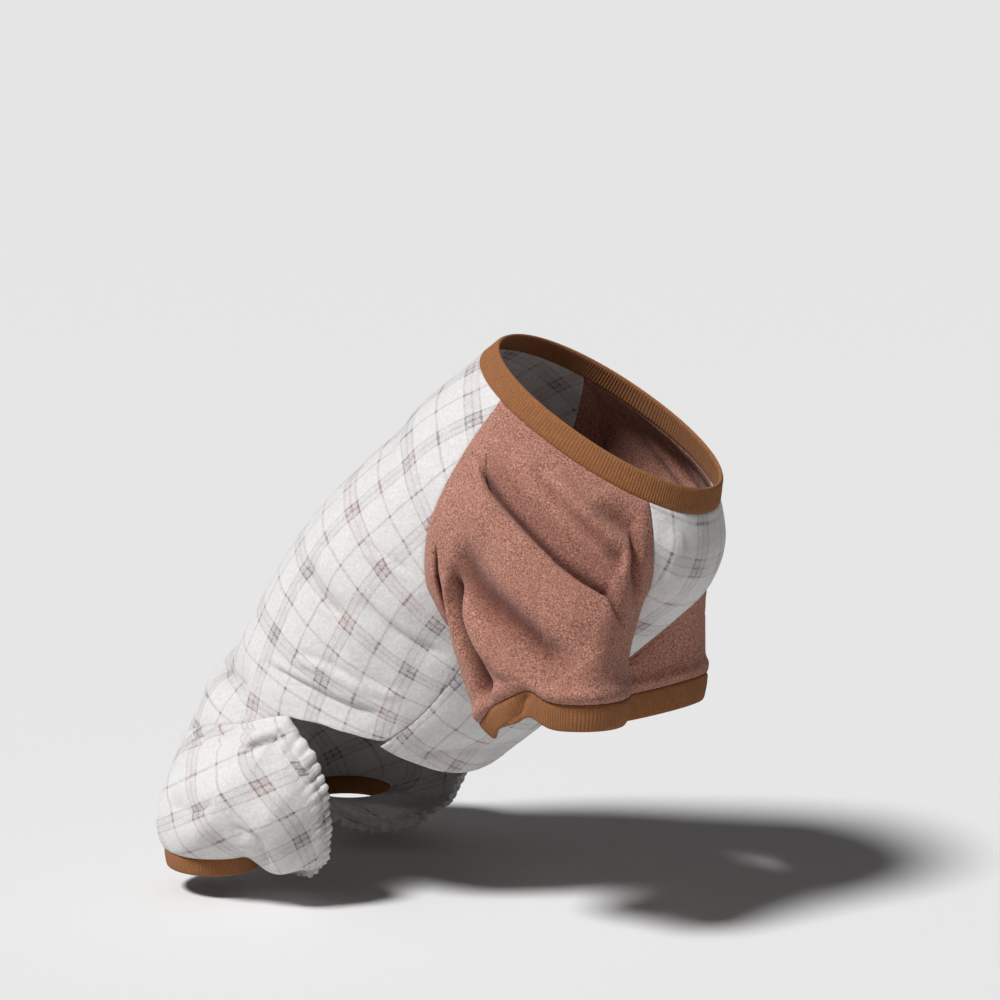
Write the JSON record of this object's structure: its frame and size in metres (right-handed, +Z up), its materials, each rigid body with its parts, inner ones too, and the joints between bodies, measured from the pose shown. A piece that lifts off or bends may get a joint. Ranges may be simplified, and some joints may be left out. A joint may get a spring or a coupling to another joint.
{
  "type": "dog jumpsuit",
  "caption": "Dog jumpsuit of plaid fleece with brown raglan sleeves and ribbed neck and cuffs, open under the belly and tail, shaped as on a sitting dog",
  "frame": {"origin": "middle of the neck opening, at the seam of the neck ribbing", "axes": "+X to the dog's front, +Y to its left, +Z up, in the form worn by a sitting dog"},
  "size_m": [0.5079, 0.341, 0.4888],
  "materials": {
    "plaid_fleece": "off-white brushed fleece with a grey and taupe plaid",
    "sleeve_cloth": "brown brushed cloth",
    "ribbing": "ochre knitted ribbing"
  },
  "bodies": {
    "root": {"back_panel": "plaid_fleece", "belly_panel": "plaid_fleece", "neck_band": "ribbing", "sleeve_right": "sleeve_cloth", "sleeve_left": "sleeve_cloth", "front_cuff_right": "ribbing", "front_cuff_left": "ribbing", "hind_leg_right": "plaid_fleece", "hind_leg_left": "plaid_fleece", "hind_cuff_right": "ribbing", "hind_cuff_left": "ribbing"}
  },
  "joints": []
}
